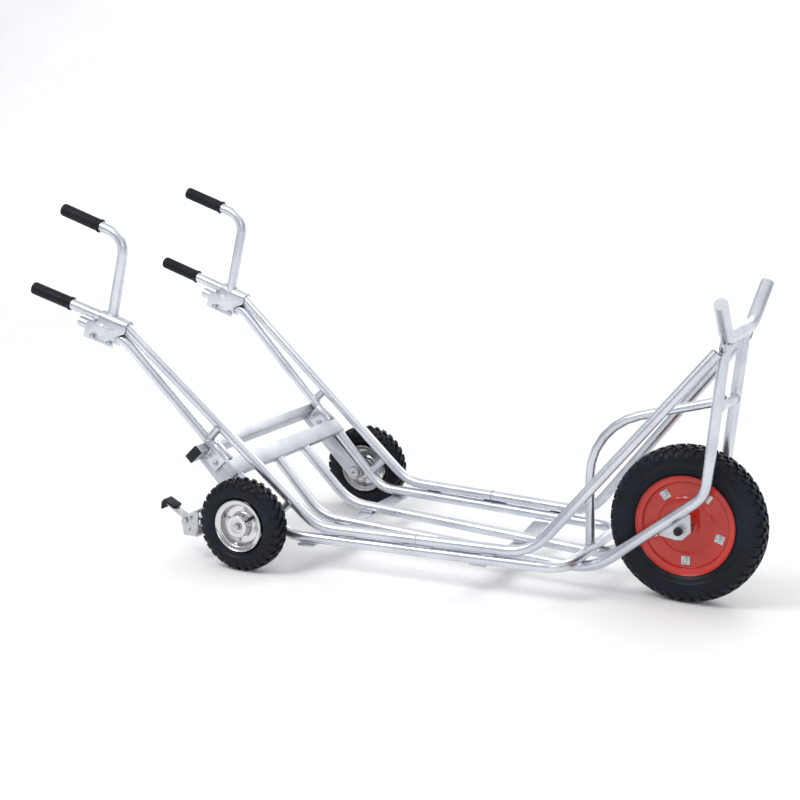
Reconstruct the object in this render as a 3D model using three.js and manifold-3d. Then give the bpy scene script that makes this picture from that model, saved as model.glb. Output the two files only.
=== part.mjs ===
import * as THREE from "three";
import { mergeVertices } from "three/addons/utils/BufferGeometryUtils.js";
import Module from "manifold-3d";

// Three-wheel carrying cart of bent aluminium tube: a low deck slung between one large front wheel
// and two small rear wheels, with two pairs of grips at the back and a horn-shaped rest at the front.
// Millimetres. +X points to the front wheel, +Y to the cart's left, +Z up, ground at Z = 0.

const GAP = 0.3; // left between pieces that are welded, bolted or pushed together

// Round tube stock: outer radius and wall.
const RAIL = { radius: 12.7, wall: 2 };
const HORN = { radius: 15.9, wall: 2 };
const HOOP = { radius: 11, wall: 2 };
const SPACER_RADIUS = 10;
const DRAIN_RADIUS = 3; // small holes that let water out of closed tubes
// Rectangular tube stock, used for both crossbars and for the legs.
const BAR = { width: 38, thick: 22, wall: 2 };

// The rear slope: the line of the rear struts, falling towards the front.
const SLOPE = { x: -415.1, z: 300, angle: 43.9 };
const LOWER_BAR = { from: 99.6, to: 139.5, reach: 265 };
const UPPER_BAR = { at: 39.7, reach: 294 };
// The line of the lower grips, where the main rails bend down into the slope.
const HANDLE = { x: -612.2, y: 268.5, z: 525.7, angle: 15.7, splay: -2.4 };

const FRONT_AXLE = { x: 697, z: 178, bore: 6.08 };
const FRONT_TYRE = { radius: 178, half: 40 };
const FRONT_BEAD = [[115, 31.2], [112.9, 24.9], [101.1, 24.1]];
const FRONT_RIM = { lip: 113.3, bolts: 5, boltCircle: 80.5, firstBolt: 57 };
const REAR_AXLE = { x: -262.3, y: 312, z: 108.4, radius: 6, bore: 6.08 };
const REAR_TYRE = { radius: 108.4, half: 29.4 };
const REAR_BEAD = [[62.5, 22.9], [51.8, 18.2]];
const REAR_RIM_LIP = 60;
const LEG_Y = 250; // centre plane of each leg

// Corner points of the bent tubes on the left side; the right side mirrors Y.
const MAIN_RAIL = {
  corners: [
    [-867, 282.8, 597.8],
    [HANDLE.x, HANDLE.y, HANDLE.z],
    [-108.5, 240, 104.9],
    [400, 194.3, 111.3],
    [762.5, 98.5, 583.5],
  ],
  bends: [70, 110, 110],
};
const SPINE = {
  corners: [
    [-314.4, 65, 203],
    [-186.7, 72, 78.8],
    [500, 62.5, 55.2],
    [749, 70, 261.5],
    [774, 76, 603],
  ],
  bends: [110, 130, 65],
};
const REAR_STRUT = {
  corners: [
    [-742, 274.3, 530],
    [-617.4, 269.3, 494.9],
    [-343.6, 252, 231.1],
  ],
  bends: [70],
};
const CLAMP = { sleeve: [-71, 6], outer: 16.6, inner: 13.6, bolts: [-74.5, -26.5], boltDrop: -47.4 };
const UPPER_HANDLE = {
  corners: [
    [-655, 266.8, 541],
    [-616, 266.8, 738.2],
    [-786.5, 269.2, 790.4],
  ],
  bends: [50],
};
const GRIP = { radius: 15.2, bore: 13.4, end: 4, length: 112 };

const BRAKE = { x: -416, y: -301, z: 96, pin: 4, bore: 4.08 }; // pedal pivot, right rear wheel only

const PAINT = {
  aluminium: { color: 0xd4d8e2, roughness: 0.35, metalness: 0.9 },
  zinc: { color: 0xb9c0c6, roughness: 0.4, metalness: 0.9 },
  red: { color: 0xb83c31, roughness: 0.45, metalness: 0.2 },
  rubber: { color: 0x1b2128, roughness: 0.85, metalness: 0 },
  plastic: { color: 0x15181c, roughness: 0.6, metalness: 0 },
};

const wasm = await Module();
wasm.setup();
const cart = new THREE.Group();
cart.name = "game_cart";

// ---------- helpers ----------

const rad = THREE.MathUtils.degToRad;
const mirror = ([x, y, z], side) => new THREE.Vector3(x, y * side, z);

function toSolid(geometry) {
  const bare = geometry.clone();
  bare.deleteAttribute("normal");
  bare.deleteAttribute("uv");
  const merged = mergeVertices(bare, 1e-4);
  return new wasm.Manifold(
    new wasm.Mesh({
      numProp: 3,
      vertProperties: merged.attributes.position.array,
      triVerts: new Uint32Array(merged.index.array),
    }),
  );
}

function toGeometry(solid) {
  const mesh = solid.getMesh();
  const geometry = new THREE.BufferGeometry();
  geometry.setAttribute("position", new THREE.BufferAttribute(mesh.vertProperties, 3));
  geometry.setIndex(new THREE.BufferAttribute(mesh.triVerts, 1));
  geometry.computeVertexNormals();
  return geometry;
}

// The first geometry with the others taken away from it.
function cut(geometry, ...cutters) {
  return toGeometry(cutters.reduce((left, c) => left.subtract(toSolid(c)), toSolid(geometry)));
}

function join(...geometries) {
  return toGeometry(geometries.map(toSolid).reduce((a, b) => a.add(b)));
}

function piece(name, geometry, paint) {
  const mesh = new THREE.Mesh(geometry, new THREE.MeshStandardMaterial(PAINT[paint]));
  mesh.name = name;
  cart.add(mesh);
}

// Runs straight between its corners and turns each one as an arc, with points only where it bends.
class BentPath extends THREE.Curve {
  constructor(corners, bends) {
    super();
    this.stops = [];
    this.headings = [];
    corners.forEach((corner, i) => {
      const before = i > 0 && corner.clone().sub(corners[i - 1]).normalize();
      const after = i < corners.length - 1 && corners[i + 1].clone().sub(corner).normalize();
      if (!before || !after) this.push(corner, before || after);
      else this.turn(corner, before, after, bends[i - 1]);
    });
  }
  push(point, heading) {
    this.stops.push(point.clone());
    this.headings.push(heading.clone());
  }
  turn(corner, before, after, radius) {
    const angle = before.angleTo(after);
    const inward = after.clone().sub(before).normalize();
    const centre = corner.clone().addScaledVector(inward, radius / Math.cos(angle / 2));
    const spoke = corner.clone().addScaledVector(before, -radius * Math.tan(angle / 2)).sub(centre);
    const axis = before.clone().cross(after).normalize();
    const steps = Math.max(3, Math.ceil(angle / rad(13)));
    for (let i = 0; i <= steps; i++) {
      const part = (angle * i) / steps;
      const point = spoke.clone().applyAxisAngle(axis, part).add(centre);
      this.push(point, before.clone().applyAxisAngle(axis, part));
    }
  }
  get steps() {
    return this.stops.length - 1;
  }
  getPoint(u) {
    return this.stops[Math.round(u * this.steps)].clone();
  }
  getPointAt(u) {
    return this.getPoint(u);
  }
  getTangentAt(u) {
    return this.headings[Math.round(u * this.steps)].clone();
  }
  getSpacedPoints() {
    return this.stops.map((p) => p.clone());
  }
}

function circle(radius, sides) {
  const points = [];
  for (let i = 0; i < sides; i++) {
    const a = (2 * Math.PI * i) / sides;
    points.push(new THREE.Vector2(radius * Math.cos(a), radius * Math.sin(a)));
  }
  return points;
}

function sweep(path, radius, innerRadius = 0) {
  const ring = new THREE.Shape(circle(radius, 12));
  if (innerRadius) ring.holes.push(new THREE.Path(circle(innerRadius, 8)));
  return new THREE.ExtrudeGeometry(ring, { steps: path.steps, extrudePath: path });
}

const bent = (shape, side) =>
  new BentPath(shape.corners.map((c) => mirror(c, side)), shape.bends);
const tube = (path, stock) => sweep(path, stock.radius, stock.radius - stock.wall);
const straight = (from, to) => new BentPath([from, to], []);

// A round bar along Y, made by turning (radius, y) points; the outline closes on itself.
function turned(outline, segments = 48) {
  const points = outline.map(([r, y]) => new THREE.Vector2(r, y));
  if (THREE.ShapeUtils.isClockWise(points)) points.reverse();
  const closed = [...points, points[0].clone()];
  return new THREE.LatheGeometry(closed, segments);
}

function collar(radius, bore, from, to, segments = 48) {
  return turned([[bore, from], [radius, from], [radius, to], [bore, to]], segments);
}

function rod(radius, from, to, segments = 24) {
  const length = Math.abs(to - from);
  const geometry = new THREE.CylinderGeometry(radius, radius, length, segments);
  return geometry.translate(0, (from + to) / 2, 0);
}

// A flat shape in the XZ plane, given as (x, z) points, running along Y from one face to the other.
function plate(outline, from, to, holes = []) {
  const shape = new THREE.Shape(outline.map(([x, z]) => new THREE.Vector2(x, z)));
  holes.forEach(({ x, z, r }) => {
    const rim = circle(r, 16).map((p) => p.add(new THREE.Vector2(x, z)));
    shape.holes.push(new THREE.Path(rim));
  });
  const geometry = new THREE.ExtrudeGeometry(shape, { depth: Math.abs(to - from), bevelEnabled: false });
  return geometry.rotateX(Math.PI / 2).translate(0, Math.max(from, to), 0);
}

function box(sizeX, sizeY, sizeZ, x, y, z) {
  return new THREE.BoxGeometry(sizeX, sizeY, sizeZ).translate(x, y, z);
}

// Places work drawn flat onto a tilted line: x runs down the line, z stands square above it.
function tilt(geometry, line) {
  return geometry.rotateY(rad(line.angle)).translate(line.x, 0, line.z);
}

// A point on a tilted line: along it, above it, and at the given Y.
function onLine(line, along, above, y) {
  const a = rad(line.angle);
  const x = line.x + along * Math.cos(a) + above * Math.sin(a);
  return new THREE.Vector3(x, y, line.z - along * Math.sin(a) + above * Math.cos(a));
}

// ---------- tube frame ----------

const SIDES = [["right", -1], ["left", 1]];

function deckTubePath() {
  const half = [
    onLine(SLOPE, 139.8, 0, 250),
    new THREE.Vector3(-185.7, 244, 77.8),
    new THREE.Vector3(475, 187, 85.2),
  ];
  const other = half.map((p) => new THREE.Vector3(p.x, -p.y, p.z)).reverse();
  return new BentPath([...half, ...other], [80, 55, 55, 80]);
}

const paths = { deck: deckTubePath() };
for (const [label, side] of SIDES) {
  paths[label] = {
    rail: bent(MAIN_RAIL, side),
    spine: bent(SPINE, side),
    strut: bent(REAR_STRUT, side),
    handle: bent(UPPER_HANDLE, side),
  };
}
const swollen = (path, stock) => sweep(path, stock.radius + GAP);

// Room left for the lower crossbar where tubes are mitred against it.
function crossbarRoom() {
  const middle = (LOWER_BAR.from + LOWER_BAR.to) / 2;
  const along = LOWER_BAR.to - LOWER_BAR.from + 2 * GAP;
  return tilt(box(along, 2 * LOWER_BAR.reach + 40, 40, middle, 0, 0), SLOPE);
}

function hornPath(inset) {
  const tips = [new THREE.Vector3(788, -186, 701), new THREE.Vector3(788, 186, 701)];
  const knees = [new THREE.Vector3(781, -98, 616), new THREE.Vector3(781, 98, 616)];
  tips.forEach((tip, i) => tip.addScaledVector(knees[i].clone().sub(tip).normalize(), inset));
  return new BentPath([tips[0], knees[0], knees[1], tips[1]], [80, 80]);
}

// The horn's ends are closed by welded discs; a drain hole under the middle opens the tube.
function addHorn() {
  const bore = sweep(hornPath(3), HORN.radius - HORN.wall);
  const drain = rod(DRAIN_RADIUS, -6, 6, 12).rotateX(Math.PI / 2).translate(781, 0, 600);
  piece("horn_tube", cut(sweep(hornPath(0), HORN.radius), bore, drain), "aluminium");
}

function addMainRails() {
  for (const [label] of SIDES) {
    const rail = tube(paths[label].rail, RAIL);
    piece("main_rail_" + label, cut(rail, swollen(paths[label].spine, RAIL)), "aluminium");
    const spine = tube(paths[label].spine, RAIL);
    const seat = sweep(hornPath(0), HORN.radius + GAP);
    const above = box(80, 80, 60, 780, paths[label].spine.stops.at(-1).y, 646);
    piece("spine_tube_" + label, cut(spine, seat, above, crossbarRoom()), "aluminium");
    const strut = tube(paths[label].strut, RAIL);
    piece("rear_strut_" + label, cut(strut, crossbarRoom()), "aluminium");
    piece("upper_handle_" + label, cut(tube(paths[label].handle, RAIL), clampBlank(label)), "aluminium");
  }
  piece("deck_u_tube", cut(tube(paths.deck, RAIL), crossbarRoom()), "aluminium");
}

// Short stubs that hold the rail above the strut or above the deck tube on the slope.
function addSpacers() {
  for (const [label, side] of SIDES) {
    const neighbours = [paths[label].rail, paths[label].strut, paths.deck];
    const cutters = neighbours.map((path) => swollen(path, RAIL));
    const upper = straight(onLine(SLOPE, 30, 0, 257 * side), onLine(SLOPE, 30, 48.4, 259 * side));
    const lower = straight(onLine(SLOPE, 271, 0, 246 * side), onLine(SLOPE, 271, 65, 247 * side));
    piece("upper_spacer_" + label, cut(sweep(upper, SPACER_RADIUS), ...cutters), "aluminium");
    piece("lower_spacer_" + label, cut(sweep(lower, SPACER_RADIUS), ...cutters), "aluminium");
  }
}

function rectangularTube(width, thick, length, wall) {
  const signs = [[-1, -1], [1, -1], [1, 1], [-1, 1]];
  const outline = (w, t) => signs.map(([a, b]) => new THREE.Vector2((a * w) / 2, (b * t) / 2));
  const shape = new THREE.Shape(outline(width, thick));
  if (wall) shape.holes.push(new THREE.Path(outline(width - 2 * wall, thick - 2 * wall)));
  const geometry = new THREE.ExtrudeGeometry(shape, { depth: length, bevelEnabled: false });
  return geometry.translate(0, 0, -length / 2).rotateX(Math.PI / 2);
}

// Closed at both ends by welded plates, with a drain hole in its lower face.
function addLowerCrossbar() {
  const { from, to, reach } = LOWER_BAR;
  const { thick, wall } = BAR;
  const middle = (from + to) / 2;
  const outside = box(to - from, 2 * reach, thick, middle, 0, 0);
  const inside = box(to - from - 2 * wall, 2 * (reach - wall), thick - 2 * wall, middle, 0, 0);
  const drain = rod(DRAIN_RADIUS, -6, 6, 12).rotateX(Math.PI / 2).translate(middle, 0, -thick / 2);
  piece("lower_crossbar", tilt(cut(outside, inside, drain), SLOPE), "aluminium");
}

// Flat strips under the deck tubes. The front one dips under the lower-lying spine tubes.
function addDeckStrips() {
  piece("rear_deck_strip", box(38, 504, 5, -133, 0, 60.8), "aluminium");
  const top = [[-198, 67.6], [-180, 67.6], [-84, 49.2], [84, 49.2], [180, 67.6], [198, 67.6]];
  const under = top.map(([y, z]) => [y, z - 5]).reverse();
  const shape = new THREE.Shape([...top, ...under].map(([y, z]) => new THREE.Vector2(y, z)));
  const strip = new THREE.ExtrudeGeometry(shape, { depth: 38, bevelEnabled: false });
  strip.rotateX(Math.PI / 2).rotateZ(Math.PI / 2).translate(256, 0, 0);
  piece("front_deck_strip", strip, "aluminium");
}

function addFork() {
  const crossPath = straight(new THREE.Vector3(763.3, -76, 457), new THREE.Vector3(763.3, 76, 457));
  const spines = SIDES.map(([label]) => swollen(paths[label].spine, RAIL));
  piece("fork_cross_tube", cut(tube(crossPath, HOOP), ...spines), "aluminium");
  const hoopCorners = [[470.5, 0, 84], [455, 0, 371], [763, 0, 464]];
  const hoopPath = new BentPath(hoopCorners.map((c) => mirror(c, 1)), [155]);
  const ends = [swollen(paths.deck, RAIL), swollen(crossPath, HOOP)];
  const beyond = box(40, 60, 60, 784, 0, 464);
  const below = box(60, 60, 20, 471, 0, 82);
  piece("wheel_hoop", cut(tube(hoopPath, HOOP), ...ends, beyond, below), "aluminium");
}

// ---------- handles ----------

// A sleeve over the main rail's bend with two cheeks that hang down past the strut below it.
function clampBlank(label) {
  const side = label === "left" ? 1 : -1;
  const [back, front] = CLAMP.sleeve;
  const sleeve = rod(CLAMP.outer, back, front, 24).rotateZ(-Math.PI / 2);
  const cheeks = plate(
    [[back, 0], [front, 0], [front, -13], [-17, -30], [-17, -57.5], [-100, -57.5], [-100, -16], [back, -12]],
    -CLAMP.outer,
    CLAMP.outer,
  );
  const blank = join(sleeve, cheeks).rotateZ(rad(HANDLE.splay) * side);
  return tilt(blank, HANDLE).translate(0, HANDLE.y * side, 0);
}

function addClamps() {
  for (const [label, side] of SIDES) {
    const { inner } = CLAMP;
    const channel = plate([[-160, -60], [20, -60], [20, 2], [-160, 2]], -inner, inner);
    channel.rotateZ(rad(HANDLE.splay) * side);
    const slot = tilt(channel, HANDLE).translate(0, HANDLE.y * side, 0);
    const rail = swollen(paths[label].rail, RAIL);
    const bolts = CLAMP.bolts.map((along) => clampBoltPlace(along, side));
    const holes = bolts.map((p) => rod(3.3, -30, 30, 16).translate(p.x, p.y, p.z));
    const clamp = cut(clampBlank(label), slot, rail, ...holes);
    piece("rail_clamp_" + label, clamp, "aluminium");
    bolts.forEach((p, i) => addBolt(["rear", "front"][i], label, side, p));
  }
}

function clampBoltPlace(along, side) {
  return onLine(HANDLE, along, CLAMP.boltDrop, (HANDLE.y - 0.042 * along) * side);
}

function addBolt(place, label, side, p) {
  const shank = rod(3, -21, 21, 12);
  const head = rod(6.2, 17, 23.2, 6);
  const nut = rod(6.2, -22.2, -17, 6);
  const bolt = join(shank, head, nut);
  if (side < 0) bolt.rotateZ(Math.PI);
  piece("clamp_bolt_" + label + "_" + place, bolt.translate(p.x, p.y, p.z), "zinc");
}

// A closed-ended rubber sleeve over the end of a tube; heading points out of the tube.
function grip(tubeEnd, heading) {
  const { radius, bore, end, length } = GRIP;
  const outline = [
    [bore, 0], [radius + 1.6, 0], [radius + 1.6, 4], [radius, 7], [radius, length - 3],
    [radius - 3, length], [0, length], [0, length - end], [bore, length - end],
  ];
  const start = tubeEnd.clone().addScaledVector(heading, end + GAP - length);
  const turn = new THREE.Quaternion().setFromUnitVectors(new THREE.Vector3(0, 1, 0), heading);
  return turned(outline, 14).applyQuaternion(turn).translate(start.x, start.y, start.z);
}

function addGrips() {
  for (const [label] of SIDES) {
    const { rail, handle } = paths[label];
    const outward = rail.headings[0].clone().negate();
    piece("lower_grip_" + label, grip(rail.stops[0], outward), "rubber");
    piece("upper_grip_" + label, grip(handle.stops.at(-1), handle.headings.at(-1)), "rubber");
  }
}

// ---------- rear legs ----------

// The long bar behind the slope that ties the legs, and a cap pushed into each open end.
function addUpperCrossbar() {
  const below = -(RAIL.radius + GAP + BAR.width / 2);
  const bar = rectangularTube(BAR.thick, BAR.width, 2 * UPPER_BAR.reach, BAR.wall);
  piece("upper_crossbar", tilt(bar.translate(UPPER_BAR.at, 0, below), SLOPE), "aluminium");
  for (const [label, side] of SIDES) {
    const lid = box(BAR.thick + 1, 4, BAR.width + 1, 0, (UPPER_BAR.reach + 2.3) * side, 0);
    const plugThick = BAR.thick - 2 * BAR.wall - 2 * GAP;
    const plugWidth = BAR.width - 2 * BAR.wall - 2 * GAP;
    const plug = box(plugThick, 12, plugWidth, 0, (UPPER_BAR.reach - 4.5) * side, 0);
    const cap = join(lid, plug).translate(UPPER_BAR.at, 0, below);
    piece("crossbar_cap_" + label, tilt(cap, SLOPE), "plastic");
  }
}

const LEG = { top: 51.2, axle: 243, below: 12.7 + 2 * GAP + 19 };

// Rectangular tube with a round lower end, drilled for the axle sleeve.
function legOutline(margin) {
  const r = BAR.width / 2 - margin;
  const points = [[LEG.top - margin * 2, -LEG.below - r], [LEG.axle, -LEG.below - r]];
  for (let a = -75; a < 90; a += 15) {
    points.push([LEG.axle + r * Math.cos(rad(a)), -LEG.below + r * Math.sin(rad(a))]);
  }
  points.push([LEG.axle, -LEG.below + r], [LEG.top - margin * 2, -LEG.below + r]);
  return points;
}

function addLegs() {
  for (const [label, side] of SIDES) {
    const outer = tilt(plate(legOutline(0), -BAR.thick / 2, BAR.thick / 2), SLOPE);
    const pocketEnd = LEG.axle - 26;
    const inside = BAR.width / 2 - BAR.wall;
    const pocketOutline = [
      [LEG.top - 4, -LEG.below - inside], [pocketEnd, -LEG.below - inside],
      [pocketEnd, -LEG.below + inside], [LEG.top - 4, -LEG.below + inside],
    ];
    const pocket = tilt(plate(pocketOutline, -BAR.thick / 2 + 2, BAR.thick / 2 - 2), SLOPE);
    const hub = rod(15 + 2 * GAP, -20, 20, 24).translate(REAR_AXLE.x, 0, REAR_AXLE.z);
    const leg = cut(outer, pocket, hub).translate(0, LEG_Y * side, 0);
    piece("leg_" + label, leg, "aluminium");
  }
}

// The saddle hooks over the strut and grips the top of the leg between its flanges.
function addSaddles() {
  for (const [label, side] of SIDES) {
    const arch = rod(16.2, 0, 46, 24).rotateZ(-Math.PI / 2).translate(52, 0, 0);
    const flanges = box(46, 32.4, 34, 75, 0, -17);
    const leg = box(60, BAR.thick + 2 * GAP, 40, 75, 0, -32.9);
    const blank = tilt(join(arch, flanges), SLOPE).translate(0, LEG_Y * side, 0);
    const room = tilt(leg, SLOPE).translate(0, LEG_Y * side, 0);
    const strut = swollen(paths[label].strut, RAIL);
    const web = box(60, 24, 12, 75, 0, -10);
    const below = tilt(web, SLOPE).translate(0, LEG_Y * side, 0);
    piece("leg_saddle_" + label, cut(blank, room, strut, below), "aluminium");
  }
}

// ---------- wheels ----------

// Outline of a tyre, open towards the rim, as (radius, y) from the crown round to the beads.
function tyreOutline({ radius, half }, bead) {
  const [seat, y] = bead.at(-1);
  const quarter = [
    [radius, 0], [radius - 2, half * 0.5], [0.93 * radius, half * 0.8], [0.8 * radius, half],
    ...bead, [seat, y - 7], [seat + 7, y - 7], [0.8 * radius, half * 0.82], [0.93 * radius, 0],
  ];
  const other = quarter.slice(1, -1).map(([r, y]) => [r, -y]).reverse();
  return [...quarter, ...other];
}

function placed(geometry, axle, y) {
  return geometry.translate(axle.x, y, axle.z);
}

// One pressed half of the front rim: lip, bead seat, and a disc with a bolted ring and a shallow dome.
function frontRimHalf(side) {
  const face = [
    [FRONT_RIM.lip, 31.2], [110, 27.6], [99, 26.5], [96.8, 20], [64, 20], [56, 23], [19.3, 24.5],
  ];
  const back = [
    [19.3, 22], [56, 20.5], [64, 17.4], [96.4, 17.4], [97.2, 0.2], [99.6, 0.2], [100.7, 24.5],
    [112.5, 25.4], [114.2, 31.2],
  ];
  const outline = [...face, ...back].map(([r, y]) => [Math.min(r, FRONT_RIM.lip + 0.9), y * side]);
  const holes = boltAngles().map((a) => placedOnCircle(rod(4.3, -30, 30, 12), a));
  return cut(turned(outline, 32), ...holes);
}

function boltAngles() {
  const { bolts, firstBolt } = FRONT_RIM;
  return Array.from({ length: bolts }, (_, i) => rad(firstBolt + (360 / bolts) * i));
}

function placedOnCircle(geometry, angle) {
  const r = FRONT_RIM.boltCircle;
  return geometry.translate(r * Math.cos(angle), 0, r * Math.sin(angle));
}

function rimBolt(angle) {
  const washers = [-1, 1].map((side) => box(20, 1.8, 20, 0, 21.2 * side, 0));
  const heads = [-1, 1].map((side) => rod(7, 21.5 * side, 27 * side, 6));
  const bolt = join(rod(3.9, -30, 30, 8), ...washers, ...heads);
  return placedOnCircle(bolt.rotateY(-angle), angle);
}

function addFrontWheel() {
  const tyre = turned(tyreOutline(FRONT_TYRE, FRONT_BEAD), 36);
  piece("front_tyre", placed(tyre, FRONT_AXLE, 0), "rubber");
  for (const [label, side] of SIDES) {
    piece("front_rim_" + label, placed(frontRimHalf(side), FRONT_AXLE, 0), "red");
  }
  piece("front_hub", placed(collar(19, FRONT_AXLE.bore, -48, 48, 24), FRONT_AXLE, 0), "zinc");
  boltAngles().forEach((angle, i) => {
    piece("front_rim_bolt_" + (i + 1), placed(rimBolt(angle), FRONT_AXLE, 0), "zinc");
  });
}

function addFrontAxle() {
  const shaft = join(rod(6, -79, 79, 24), rod(9, 49, 63, 16), rod(9, -63, -49, 16));
  const nuts = join(rod(10.5, 70.2, 76, 6), rod(10.5, -76, -70.2, 6), rod(6, -79, 79, 24));
  const axle = toGeometry(toSolid(shaft).add(toSolid(nuts)));
  piece("front_axle", placed(axle, FRONT_AXLE, 0), "zinc");
  for (const [label, side] of SIDES) {
    const dome = [[0, 90], [5, 89], [9, 86], [10, 82], [10, 76.3], [6.3, 76.3], [6.3, 79.3], [0, 79.3]];
    const cap = turned(dome.map(([r, y]) => [r, y * side]), 12);
    piece("axle_cap_" + label, placed(cap, FRONT_AXLE, 0), "plastic");
  }
}

// Plates welded under the fork tubes that carry the front axle.
function addAxleBrackets() {
  const outline = [[652, 160], [652, 172], [712, 222], [719, 214], [722, 176], [704, 157], [690, 155]];
  for (const [label, side] of SIDES) {
    const hole = { x: FRONT_AXLE.x, z: FRONT_AXLE.z, r: 6.3 };
    const blank = plate(outline, 64 * side, 69.5 * side, [hole]);
    piece("axle_bracket_" + label, cut(blank, swollen(paths[label].spine, RAIL)), "aluminium");
  }
}

// The rear rim with its hub: two pressed dishes meeting at the middle and a drum through them.
function rearRim() {
  const half = [
    [REAR_RIM_LIP, 26], [59, 23.5], [49, 21.5], [47, 4], [30, 4], [26, 10], [26, 32.2],
  ];
  const inner = [[REAR_AXLE.bore, 32.2], [REAR_AXLE.bore, -41.6], [16, -41.6], [16, -32.2]];
  const far = half.map(([r, y]) => [r, -y]).reverse();
  const under = [[61, -26], [51, -19], [51, 19], [61, 26]];
  return turned([...half, ...inner, ...far, ...under], 24);
}

function addRearWheels() {
  for (const [label, side] of SIDES) {
    const y = REAR_AXLE.y * side;
    const tyre = turned(tyreOutline(REAR_TYRE, REAR_BEAD), 28);
    piece("rear_tyre_" + label, placed(tyre, REAR_AXLE, y), "rubber");
    const rim = rearRim();
    if (side < 0) rim.rotateZ(Math.PI);
    piece("rear_rim_" + label, placed(rim, REAR_AXLE, y), "zinc");
    piece("rear_axle_" + label, rearAxle(side), "zinc");
  }
}

// Sleeve through the leg, then the shaft the wheel turns on, ending in a hex head.
function rearAxle(side) {
  const sleeve = rod(15, 232, 270, 24);
  const shaft = rod(REAR_AXLE.radius, 240, 348, 24);
  const head = rod(10, 344.6, 352, 6);
  const drill = rod(2.5, 225, 240, 12);
  const axle = cut(join(join(sleeve, shaft), head), drill);
  if (side < 0) axle.rotateZ(Math.PI);
  return axle.translate(REAR_AXLE.x, 0, REAR_AXLE.z);
}

// ---------- foot brake on the right rear wheel ----------

// An arm from the axle that passes behind the wheel and carries two cheeks for the pedal pivot.
function addBrakeCarrier() {
  const bar = plate([[-262, 88], [-382, 60], [-420, 60], [-420, 66], [-392, 84], [-262, 129]], -267, -262);
  const eye = rod(22, -267, -262, 20).translate(REAR_AXLE.x, 0, REAR_AXLE.z);
  const hole = rod(15 + 2 * GAP, -275, -255, 24).translate(REAR_AXLE.x, 0, REAR_AXLE.z);
  const arm = cut(join(bar, eye), hole);
  const floor = box(38, 58, 5, -401, -291, 62.5);
  const cheek = [[-427, 93], [-414, 108], [-392, 121], [-381, 116], [-381, 60], [-420, 60], [-422, 72]];
  const pivot = { x: BRAKE.x, z: BRAKE.z, r: BRAKE.pin + GAP };
  const spare = { x: -398, z: 104, r: 4.5 };
  const cheeks = [-286, -320].map((y) => plate(cheek, y, y + 4, [pivot, spare]));
  piece("brake_carrier", join(join(arm, floor), join(...cheeks)), "zinc");
}

function addBrakePedal() {
  const barOutline = [
    [-476, 124], [-474, 128], [-424, 103], [-408, 98], [-381, 86], [-381, 80], [-408, 88], [-424, 93],
  ];
  const bar = plate(barOutline, -311, -291);
  const eye = rod(8, -313, -289, 24).translate(BRAKE.x, 0, BRAKE.z);
  const shoe = plate([[-379, 70], [-375, 70], [-374, 98], [-379, 98]], -312, -290);
  const link = box(6, 20, 8, -381, -301, 83);
  const bore = rod(BRAKE.bore, -330, -270, 24).translate(BRAKE.x, 0, BRAKE.z);
  piece("brake_pedal", cut(join(join(bar, eye), join(shoe, link)), bore), "zinc");
  const padTop = [
    [-486, 112], [-484, 130], [-477, 137], [-448, 123],
    [-450, 116.6], [-474.3, 128.8], [-476.8, 126], [-480, 113],
  ];
  piece("pedal_pad", plate(padTop, -317, -285), "rubber");
  const pin = join(rod(BRAKE.pin, -325, -278, 24), rod(7, -325, -320.3, 6));
  const bolt = join(pin, rod(7, -281.7, -276.5, 6));
  piece("brake_pivot_bolt", bolt.translate(BRAKE.x, 0, BRAKE.z), "zinc");
}

addMainRails();
addSpacers();
addLowerCrossbar();
addDeckStrips();
addHorn();
addFork();
addClamps();
addGrips();
addUpperCrossbar();
addLegs();
addSaddles();
addFrontWheel();
addFrontAxle();
addAxleBrackets();
addRearWheels();
addBrakeCarrier();
addBrakePedal();

export default cart;
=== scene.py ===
import math
import random

import bmesh
import bpy
from mathutils import Matrix, Vector


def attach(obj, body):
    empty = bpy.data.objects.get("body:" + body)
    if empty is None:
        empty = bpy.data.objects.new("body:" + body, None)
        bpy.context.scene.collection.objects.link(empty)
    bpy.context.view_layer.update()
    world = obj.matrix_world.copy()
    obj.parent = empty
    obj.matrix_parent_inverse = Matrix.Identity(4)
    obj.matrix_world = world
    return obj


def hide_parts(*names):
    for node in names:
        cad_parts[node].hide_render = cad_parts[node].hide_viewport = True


# The looks of the carrying cart. Metres; +X forward, +Y the cart's left, +Z up, ground at Z = 0.

MM = 0.001
SEED = 7

FRONT_AXLE = Vector((0.697, 0.0, 0.178))
REAR_AXLES = {"left": Vector((-0.2623, 0.312, 0.1084)), "right": Vector((-0.2623, -0.312, 0.1084))}
SIDES = {"right": -1, "left": 1}
TUBE = 12.7 * MM
HOOP = 11 * MM
HORN = 15.9 * MM

SLOPE_POINT = Vector((-0.4151, 0.0, 0.300))
SLOPE_DIP = math.radians(43.9)
SLOPE_WAY = Vector((math.cos(SLOPE_DIP), 0, -math.sin(SLOPE_DIP)))
HANDLE_POINT = Vector((-0.6122, 0.2685, 0.5257))
HANDLE_DIP = math.radians(15.7)
HANDLE_SPLAY = -0.042

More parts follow.
